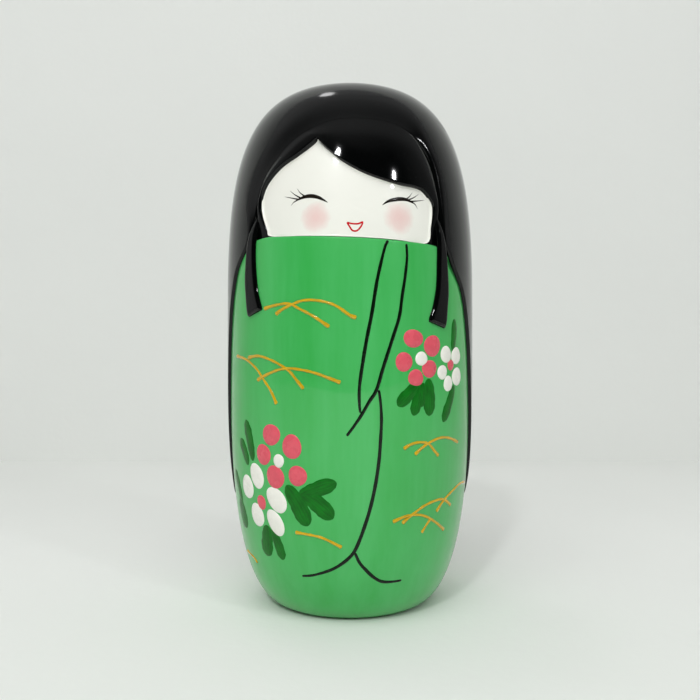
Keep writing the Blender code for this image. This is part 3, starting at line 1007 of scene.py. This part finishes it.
def make_locks(scene):
    """The strand beside the face on each side, and the lock that falls on the kimono."""
    shape, skin = doll_shape(scene)
    lock_length, tip_round, side_round = 0.032, 0.0007, 0.0009

    def strand_relief(near_face, near_hood, width, _along, height):
        fall = brow_fall(shape, near_hood, width)
        return inner_depth(shape, near_face, width, height, 0.012, fall)

    def lock_relief(near_low, near_high, width, along, height):
        under = shape.kimono_depth
        fall = smooth((COLLAR + 0.010 - height) / 0.009)
        top = mix(shape.crease_depth + 0.0002, under - shape.lock_lift, fall)
        edge = min(side_round, width * 0.45)
        drop = shape.lock_lift + 0.0001
        tip = rounding((1 - along) * lock_length, tip_round, drop)
        return top + max(rounding(near_low, edge, drop), rounding(near_high, edge, drop), tip)

    def lock_base(along):
        sunk = smooth((along - 0.2) / 0.15)
        return mix(shape.hood_depth - 0.0005, shape.kimono_depth + 0.0002, sunk)

    for side, (low, high) in (("left", LOCK_LEFT), ("right", LOCK_RIGHT)):
        carving = Carving()
        if side == "left":
            hair_band(
                carving, skin, STRAND_LOW, STRAND_HIGH, strand_relief, shape.hood_depth,
                rows=80, columns=24, face_side=1,
            )
        hair_band(carving, skin, low, high, lock_relief, lock_base, rows=70, columns=22)
        carving.thicken()
        node = f"side_lock_{side}"
        finish_piece(f"lock_{side}", carving, "fringe_lacquer", [node])


def make_face(scene):
    """The set-back face, with the lacquer run up in a fillet at its rim."""
    shape, skin = doll_shape(scene)
    rings = (0, 0.16, 0.32, 0.46, 0.59, 0.7, 0.79, 0.86, 0.91, 0.945, 0.965, 0.98, 0.99, 0.997, 1)
    closed = FACE[-1:] + FACE + FACE[:2]
    outline = curve(closed)[SPANS:-SPANS]
    columns = len(outline) - 1
    fillet = 0.00055

    def place(column, row, layer):
        azimuth = mix(FACE_CENTRE[0], outline[column][0], rings[row])
        height = mix(FACE_CENTRE[1], outline[column][1], rings[row]) * MM
        away = (1 - rings[row]) * hypot(*skin.run(
            (FACE_CENTRE[0], FACE_CENTRE[1] * MM), (outline[column][0], outline[column][1] * MM)
        ))
        depth = shape.face_depth - rounding(away, fillet, fillet)
        return skin.place(azimuth, height, shape.hood_depth if layer else depth)

    carving = Carving()
    carving.sheet(columns, len(rings) - 1, place)
    carving.thicken()
    finish_piece("face", carving, "face_lacquer", ["face_plate"])


def make_features(scene):
    """The closed eyes with their lashes, and the mouth."""
    shape, skin = doll_shape(scene)
    depth = shape.face_depth
    eyes = Carving()
    for points in EYELIDS:
        stroke(eyes, skin, points, width=0.00108, lift=0.00008, depth=depth, form=lid)
    for points in LASHES:
        stroke(
            eyes, skin, points, width=0.00042, lift=0.00006, depth=depth, form=hair_line,
            sides=8, step=0.0003,
        )
    finish_piece("eyes", eyes, "brown_enamel")
    mouth = Carving()
    stroke(
        mouth, skin, MOUTH, width=0.00046, lift=0.00007, depth=depth, form=bead,
        sides=8, step=0.00015,
    )
    finish_piece("mouth", mouth, "red_enamel")


def kimono_strokes(name, scene, routes, width, lift, form, look):
    """Strokes of one kind of enamel on the kimono, as one piece."""
    shape, skin = doll_shape(scene)
    strokes = Carving()
    for points in routes:
        stroke(strokes, skin, points, width, lift, shape.kimono_depth, form)
    finish_piece(name, strokes, look)


def make_folds(scene):
    """The black lines that draw the kimono's overlap and sleeves."""
    width = scene.kokeshi_paint.line_width
    kimono_strokes("fold_lines", scene, FOLD_LINES, width, 0.0002, drawn_line, "black_enamel")


def make_grass(scene):
    """Blades of grass in raised ochre enamel."""
    width = scene.kokeshi_paint.grass_width
    kimono_strokes("grass", scene, GRASS_BLADES, width, 0.0003, blade, "ochre_enamel")


def make_flowers(scene):
    """The petals, dabbed on in thick enamel, and the leaves behind them."""
    shape, skin = doll_shape(scene)
    lift, depth = scene.kokeshi_paint.petal_lift, shape.kimono_depth
    for name, petals, look in (
        ("pink_petals", PINK_PETALS, "pink_enamel"), ("white_petals", WHITE_PETALS, "white_enamel"),
    ):
        dabs = Carving()
        for petal in petals:
            dab(dabs, skin, *petal, lift, depth)
        finish_piece(name, dabs, look)
    leaves = Carving()
    for tip, root, width in LEAVES:
        bend = (mix(tip[0], root[0], 0.5) + 0.5, mix(tip[1], root[1], 0.5) + 0.3)
        stroke(leaves, skin, [tip, bend, root], width * MM, 0.00016, depth, form=lobe, sides=20)
    finish_piece("leaves", leaves, "leaf_enamel")


def finish_inside():
    """Wood grain and felt on the CAD pieces that keep their own shapes."""
    for name in ("head_block", "neck_dowel", "base_plug", "base_felt"):
        look = "pressed_felt" if name == "base_felt" else "turned_wood"
        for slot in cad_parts[name].material_slots:
            slot.material = bpy.data.materials[look]


def make_materials(scene):
    """All lacquers, enamels and bare materials."""
    shape, skin = doll_shape(scene)
    paints = scene.kokeshi_paint
    kimono_lacquer(paints)
    hair_lacquer("hood_lacquer", paints, gloss=0.1)
    hair_lacquer("fringe_lacquer", paints, gloss=0.045)
    face_lacquer(paints, skin, shape.face_depth)
    turned_wood(paints)
    pressed_felt(paints)
    enamel("black_enamel", paints.line, 0.2, coat=0.15)
    enamel("pink_enamel", paints.pink, 0.06)
    enamel("white_enamel", paints.cream, 0.03)
    enamel("brown_enamel", paints.brow, 0.15)
    enamel("red_enamel", paints.lips, 0.08)
    leaf, gold = paints.leaf, paints.gold
    brushed_enamel("leaf_enamel", shade(leaf, 0.62), shade(leaf, 1.3), 26.0, gloss=0.3, coat=0.1)
    brushed_enamel("ochre_enamel", shade(gold, 0.72), shade(gold, 1.15), 6.0, gloss=0.12, coat=0.9)


def lamp(name, azimuth, elevation, distance, size, power, tone=(1.0, 1.0, 1.0)):
    """An area lamp that faces the doll's middle from a direction."""
    light = bpy.data.lights.new(name, "AREA")
    light.shape, light.size, light.energy, light.color = "DISK", size, power, tone
    turn, rise = radians(azimuth), radians(elevation)
    way = Vector((sin(turn) * cos(rise), -cos(turn) * cos(rise), sin(rise)))
    holder = bpy.data.objects.new(name, light)
    holder.location = Vector((0, 0, HEIGHT / 2)) + way * distance
    holder.rotation_mode = "QUATERNION"
    holder.rotation_quaternion = way.to_track_quat("Z", "Y")
    bpy.context.scene.collection.objects.link(holder)
    return holder


def room():
    """A soft room: pale above and behind, darker to the right, dark in front of the doll."""
    made = Finish("room", world=True)
    way = made.node("SeparateXYZ", None, {0: made.node("TexCoord", output="Generated")})
    right = Socket(made, way.socket.node.outputs["X"])
    ahead = Socket(made, way.socket.node.outputs["Y"]) * -1.0
    above = Socket(made, way.socket.node.outputs["Z"])
    low = 1.0 - made.ramp(above, (0.6, 0.0), (0.95, 1.0))
    dim = made.ramp(ahead, (0.0, 0.0), (0.55, 1.0)) * low
    pale, grey, dark = (0.46, 0.465, 0.465), (0.32, 0.325, 0.325), (0.012, 0.013, 0.015)
    side = made.blend(made.ramp(right, (0.0, 0.0), (0.7, 1.0)), pale, grey)
    return made.set(color=made.blend(dim, side, dark), strength=1.0)


def make_stage(scene):
    """A pale floor that runs up into a wall, soft light and the camera."""
    stage = scene.kokeshi_stage
    reach, half = 0.9, 1.1
    bm = bmesh.new()
    low = bm.verts.new((-half, -reach, 0.0))
    corner = bm.verts.new((-half, stage.wall_distance, 0.0))
    high = bm.verts.new((-half, stage.wall_distance, reach))
    line = [bm.edges.new((low, corner)), bm.edges.new((corner, high))]
    swept = bmesh.ops.extrude_edge_only(bm, edges=line)["geom"]
    moved = [item for item in swept if isinstance(item, bmesh.types.BMVert)]
    bmesh.ops.translate(bm, verts=moved, vec=(2 * half, 0.0, 0.0))
    bmesh.ops.recalc_face_normals(bm, faces=bm.faces)
    mesh = bpy.data.meshes.new("studio_floor")
    bm.to_mesh(mesh)
    bm.free()
    mesh.materials.append(studio_paint(stage.floor))
    floor = bpy.data.objects.new("studio_floor", mesh)
    scene.collection.objects.link(floor)

    cool = (0.97, 0.98, 1.0)
    lamp("key_lamp", -15, 38, 1.2, size=0.08, power=2.9 * stage.key, tone=cool)
    lamp("side_lamp", 43, 27, 1.3, size=0.06, power=1.6 * stage.key, tone=cool)
    lamp("top_lamp", 218, 72, 0.9, size=0.11, power=0.24 * stage.key)
    fill = lamp("fill_lamp", -6, 46, 1.2, size=1.5, power=10.9 * stage.key)
    fill.visible_glossy = False
    scene.world = room()

    data = bpy.data.cameras.new("camera")
    data.lens, data.sensor_width = stage.lens, 36.0
    data.clip_start = 0.01
    camera = bpy.data.objects.new("camera", data)
    camera.location = (0.0, -stage.camera_distance, stage.camera_height)
    camera.rotation_euler = (radians(90), 0.0, 0.0)
    scene.collection.objects.link(camera)
    scene.camera = camera
    scene.view_settings.view_transform = "Standard"


class Maker:
    """What the doll's operators share."""

    bl_options = {"REGISTER", "UNDO"}


class KOKESHI_OT_materials(Maker, Operator):
    """Makes the lacquers, enamels, wood and felt"""

    bl_idname = "kokeshi.materials"
    bl_label = "Finishes"

    def execute(self, context):
        make_materials(context.scene)
        return {"FINISHED"}


class KOKESHI_OT_stage(Maker, Operator):
    """Makes the floor, wall, lamps and camera"""

    bl_idname = "kokeshi.stage"
    bl_label = "Stage"

    def execute(self, context):
        make_stage(context.scene)
        return {"FINISHED"}


class KOKESHI_OT_kimono(Maker, Operator):
    """Turns the green body and cuts the rebate for the hair"""

    bl_idname = "kokeshi.kimono"
    bl_label = "Kimono"

    def execute(self, context):
        make_kimono(context.scene)
        return {"FINISHED"}


class KOKESHI_OT_hood(Maker, Operator):
    """Carves the long hair over the crown, sides and back"""

    bl_idname = "kokeshi.hood"
    bl_label = "Hood"

    def execute(self, context):
        make_hood(context.scene)
        return {"FINISHED"}


class KOKESHI_OT_fringe(Maker, Operator):
    """Carves the swept fringe"""

    bl_idname = "kokeshi.fringe"
    bl_label = "Fringe"

    def execute(self, context):
        make_fringe(context.scene)
        return {"FINISHED"}


class KOKESHI_OT_locks(Maker, Operator):
    """Carves the strands beside the face and on the kimono"""

    bl_idname = "kokeshi.locks"
    bl_label = "Locks"

    def execute(self, context):
        make_locks(context.scene)
        return {"FINISHED"}


class KOKESHI_OT_face(Maker, Operator):
    """Carves the set-back face"""

    bl_idname = "kokeshi.face"
    bl_label = "Face"

    def execute(self, context):
        make_face(context.scene)
        return {"FINISHED"}


class KOKESHI_OT_features(Maker, Operator):
    """Paints the eyes and the mouth"""

    bl_idname = "kokeshi.features"
    bl_label = "Features"

    def execute(self, context):
        make_features(context.scene)
        return {"FINISHED"}


class KOKESHI_OT_folds(Maker, Operator):
    """Paints the kimono's lines"""

    bl_idname = "kokeshi.folds"
    bl_label = "Folds"

    def execute(self, context):
        make_folds(context.scene)
        return {"FINISHED"}


class KOKESHI_OT_grass(Maker, Operator):
    """Paints the blades of grass"""

    bl_idname = "kokeshi.grass"
    bl_label = "Grass"

    def execute(self, context):
        make_grass(context.scene)
        return {"FINISHED"}


class KOKESHI_OT_flowers(Maker, Operator):
    """Paints the petals and leaves"""

    bl_idname = "kokeshi.flowers"
    bl_label = "Flowers"

    def execute(self, context):
        make_flowers(context.scene)
        return {"FINISHED"}


class KOKESHI_OT_inside(Maker, Operator):
    """Finishes the CAD pieces inside and below"""

    bl_idname = "kokeshi.inside"
    bl_label = "Wood and felt"

    def execute(self, _context):
        finish_inside()
        return {"FINISHED"}


OPERATORS = [
    KOKESHI_OT_materials, KOKESHI_OT_stage, KOKESHI_OT_kimono,
    KOKESHI_OT_hood, KOKESHI_OT_fringe, KOKESHI_OT_locks,
    KOKESHI_OT_face, KOKESHI_OT_features, KOKESHI_OT_folds,
    KOKESHI_OT_grass, KOKESHI_OT_flowers, KOKESHI_OT_inside,
]


class KOKESHI_PT_panel(Panel):
    """Lists the doll's pieces in the sidebar."""

    bl_label = "Kokeshi Doll"
    bl_space_type = "VIEW_3D"
    bl_region_type = "UI"
    bl_category = "Kokeshi"

    def draw(self, _context):
        for made in OPERATORS:
            self.layout.operator(made.bl_idname)


CLASSES = [KokeshiShape, KokeshiPaint, KokeshiStage, *OPERATORS, KOKESHI_PT_panel]


def register():
    for made in CLASSES:
        bpy.utils.register_class(made)
    bpy.types.Scene.kokeshi_shape = PointerProperty(type=KokeshiShape)
    bpy.types.Scene.kokeshi_paint = PointerProperty(type=KokeshiPaint)
    bpy.types.Scene.kokeshi_stage = PointerProperty(type=KokeshiStage)


def unregister():
    del bpy.types.Scene.kokeshi_shape
    del bpy.types.Scene.kokeshi_paint
    del bpy.types.Scene.kokeshi_stage
    for made in reversed(CLASSES):
        bpy.utils.unregister_class(made)


def main():
    register()
    for made in OPERATORS:
        getattr(bpy.ops.kokeshi, made.bl_idname.split(".")[1])()


if __name__ == "__main__":
    main()
